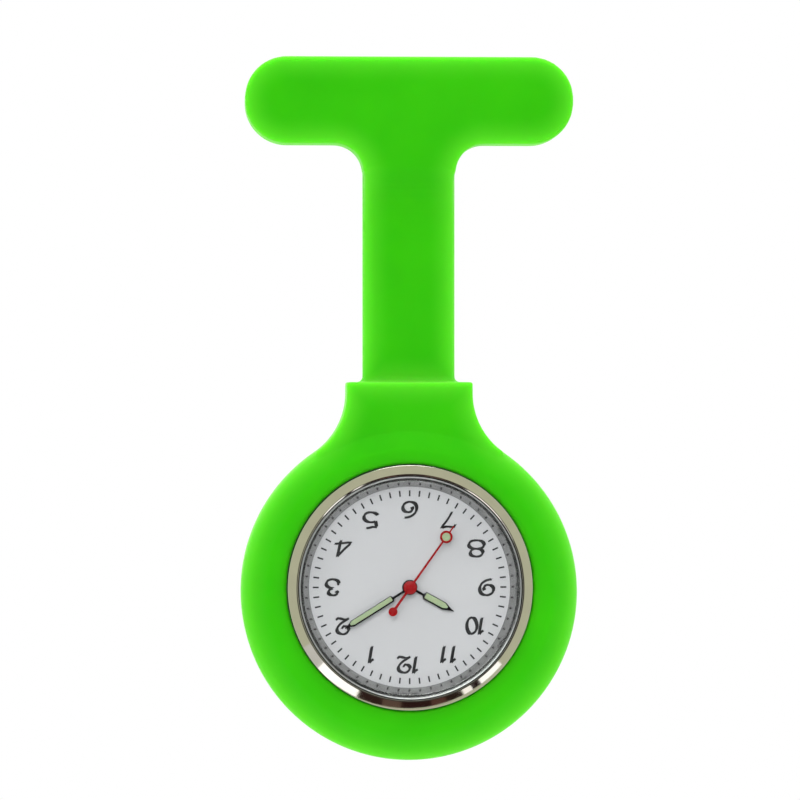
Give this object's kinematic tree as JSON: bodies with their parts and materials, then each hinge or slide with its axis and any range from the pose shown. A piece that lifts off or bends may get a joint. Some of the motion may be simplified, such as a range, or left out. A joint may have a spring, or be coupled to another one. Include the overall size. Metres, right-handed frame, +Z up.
{
  "type": "fob watch",
  "caption": "Nurse's fob watch: round quartz watch head in a one-piece silicone T-bar holder with a brooch pin at the back",
  "frame": {"origin": "middle of the closed brooch needle, on its axis, behind the T-bar", "axes": "+Z up when worn, from the watch head to the T-bar; the dial faces -Y; +X is to the right seen from the front"},
  "size_m": [0.0422, 0.0106, 0.0881],
  "materials": {
    "green_silicone": "satin moulded silicone with fine grain",
    "polished_steel": "mirror polished",
    "brushed_steel": "circular brushed",
    "tool_steel": "fine ground",
    "nickel": "bright nickel plate",
    "brass": "stamped",
    "copper": "enamelled copper wire",
    "silicon_iron": "dull soft iron",
    "dark_magnet": "sintered",
    "glass": "polished mineral glass",
    "black_rubber": "matt",
    "dial_paint": "pale grey matt lacquer with printed numerals",
    "white_plastic": "moulded",
    "black_paint": "black lacquer with pale green luminous fill",
    "red_paint": "red lacquer",
    "board_green": "solder mask",
    "chip_black": "epoxy"
  },
  "bodies": {
    "bar": {"holder_upper": "green_silicone", "brooch_plate": "nickel", "brooch_rivet": "nickel"},
    "needle": {"brooch_needle": "nickel"},
    "catch": {"brooch_catch": "nickel"},
    "watch": {"holder_lower": "green_silicone", "case_middle": "polished_steel", "bezel": "polished_steel", "crystal": "glass", "crystal_gasket": "black_rubber", "rehaut_ring": "polished_steel", "case_back": "brushed_steel", "case_back_gasket": "black_rubber", "dial": "dial_paint", "dial_washer": "brass", "movement_ring": "white_plastic", "crown_tube": "polished_steel", "main_plate": "white_plastic", "train_bridge": "nickel", "coil_core": "silicon_iron", "coil_winding": "copper", "stator": "silicon_iron", "circuit_board": "board_green", "circuit_chip": "chip_black", "quartz_can": "nickel", "battery": "nickel", "battery_clamp": "nickel", "battery_contact": "nickel", "bridge_screw_low": "tool_steel", "bridge_screw_right": "tool_steel", "bridge_screw_top": "tool_steel", "coil_screw_left": "tool_steel", "coil_screw_right": "tool_steel", "clamp_screw": "tool_steel"},
    "seconds": {"second_hand": "red_paint", "seconds_arbor": "tool_steel", "fourth_wheel": "brass"},
    "minutes": {"minute_hand": "black_paint", "cannon_pinion": "tool_steel", "centre_wheel": "brass"},
    "hours": {"hour_hand": "black_paint", "hour_wheel": "brass"},
    "third": {"third_wheel": "brass", "third_pinion": "tool_steel"},
    "fifth": {"fifth_wheel": "brass", "fifth_pinion": "tool_steel"},
    "rotor": {"rotor_magnet": "dark_magnet", "rotor_pinion": "tool_steel"},
    "minute_idler": {"minute_wheel": "brass", "minute_pinion": "tool_steel"},
    "setting_idler": {"setting_wheel": "tool_steel", "setting_pinion": "tool_steel"},
    "crown_seal": {"crown_gasket": "black_rubber"},
    "crown": {"crown": "polished_steel", "stem": "tool_steel"},
    "clutch": {"clutch": "tool_steel"},
    "setting_lever": {"setting_lever": "tool_steel"},
    "yoke": {"yoke": "tool_steel"}
  },
  "joints": [
    {"name": "strap_flex", "type": "hinge", "parent": "bar", "child": "watch", "pos_m": [0, -0.0038, -0.02035], "axis": [-1, 0, 0], "range_deg": [-15, 80], "stiffness_Nm_per_rad": 0.0015},
    {"name": "needle_open", "type": "hinge", "parent": "bar", "child": "needle", "pos_m": [-0.014, 0, 0], "axis": [0, 0, 1], "range_deg": [0, 75]},
    {"name": "catch_roll", "type": "hinge", "parent": "bar", "child": "catch", "pos_m": [0.014, 0, 0], "axis": [1, 0, 0], "range_deg": [0, 110]},
    {"name": "seconds_turn", "type": "hinge", "parent": "watch", "child": "seconds", "pos_m": [0, -0.004, -0.0609], "axis": [0, 1, 0], "continuous": true},
    {"name": "minutes_turn", "type": "hinge", "parent": "watch", "child": "minutes", "pos_m": [0, -0.004, -0.0609], "axis": [0, 1, 0], "continuous": true},
    {"name": "hours_turn", "type": "hinge", "parent": "watch", "child": "hours", "pos_m": [0, -0.004, -0.0609], "axis": [0, 1, 0], "continuous": true},
    {"name": "third_turn", "type": "hinge", "parent": "watch", "child": "third", "pos_m": [-0.00221, -0.004, -0.05962], "axis": [0, 1, 0], "continuous": true},
    {"name": "fifth_turn", "type": "hinge", "parent": "watch", "child": "fifth", "pos_m": [0.00132, -0.004, -0.06319], "axis": [0, 1, 0], "continuous": true},
    {"name": "rotor_turn", "type": "hinge", "parent": "watch", "child": "rotor", "pos_m": [0.00282, -0.004, -0.06445], "axis": [0, 1, 0], "continuous": true},
    {"name": "minute_idler_turn", "type": "hinge", "parent": "watch", "child": "minute_idler", "pos_m": [-0.00204, -0.0053, -0.0609], "axis": [0, 1, 0], "continuous": true},
    {"name": "setting_idler_turn", "type": "hinge", "parent": "watch", "child": "setting_idler", "pos_m": [-0.00391, -0.0047, -0.0609], "axis": [0, 1, 0], "continuous": true},
    {"name": "crown_pull", "type": "slide", "parent": "watch", "child": "crown_seal", "axis": [-1, 0, 0], "range_m": [0, 0.0008]},
    {"name": "crown_turn", "type": "hinge", "parent": "crown_seal", "child": "crown", "pos_m": [-0.0175, -0.00375, -0.0609], "axis": [-1, 0, 0], "continuous": true},
    {"name": "clutch_slide", "type": "slide", "parent": "crown", "child": "clutch", "axis": [-1, 0, 0], "range_m": [-0.0016, 0]},
    {"name": "setting_lever_turn", "type": "hinge", "parent": "watch", "child": "setting_lever", "pos_m": [-0.00925, -0.00375, -0.0639], "axis": [0, -1, 0], "range_deg": [0, 17.5]},
    {"name": "yoke_turn", "type": "hinge", "parent": "watch", "child": "yoke", "pos_m": [-0.0069, -0.00375, -0.0653], "axis": [0, -1, 0], "range_deg": [-12.5, 0]}
  ],
  "couplings": [
    {"joint": "minutes_turn", "follows": "seconds_turn", "ratio": 0.016667},
    {"joint": "hours_turn", "follows": "seconds_turn", "ratio": 0.0013889},
    {"joint": "third_turn", "follows": "seconds_turn", "ratio": -0.13333},
    {"joint": "fifth_turn", "follows": "seconds_turn", "ratio": -5},
    {"joint": "rotor_turn", "follows": "seconds_turn", "ratio": 30},
    {"joint": "minute_idler_turn", "follows": "seconds_turn", "ratio": -0.0055556},
    {"joint": "setting_idler_turn", "follows": "seconds_turn", "ratio": 0.025},
    {"joint": "clutch_slide", "follows": "crown_pull", "ratio": -2},
    {"joint": "setting_lever_turn", "follows": "crown_pull", "rad_per_m": 370},
    {"joint": "yoke_turn", "follows": "crown_pull", "rad_per_m": -262}
  ]
}
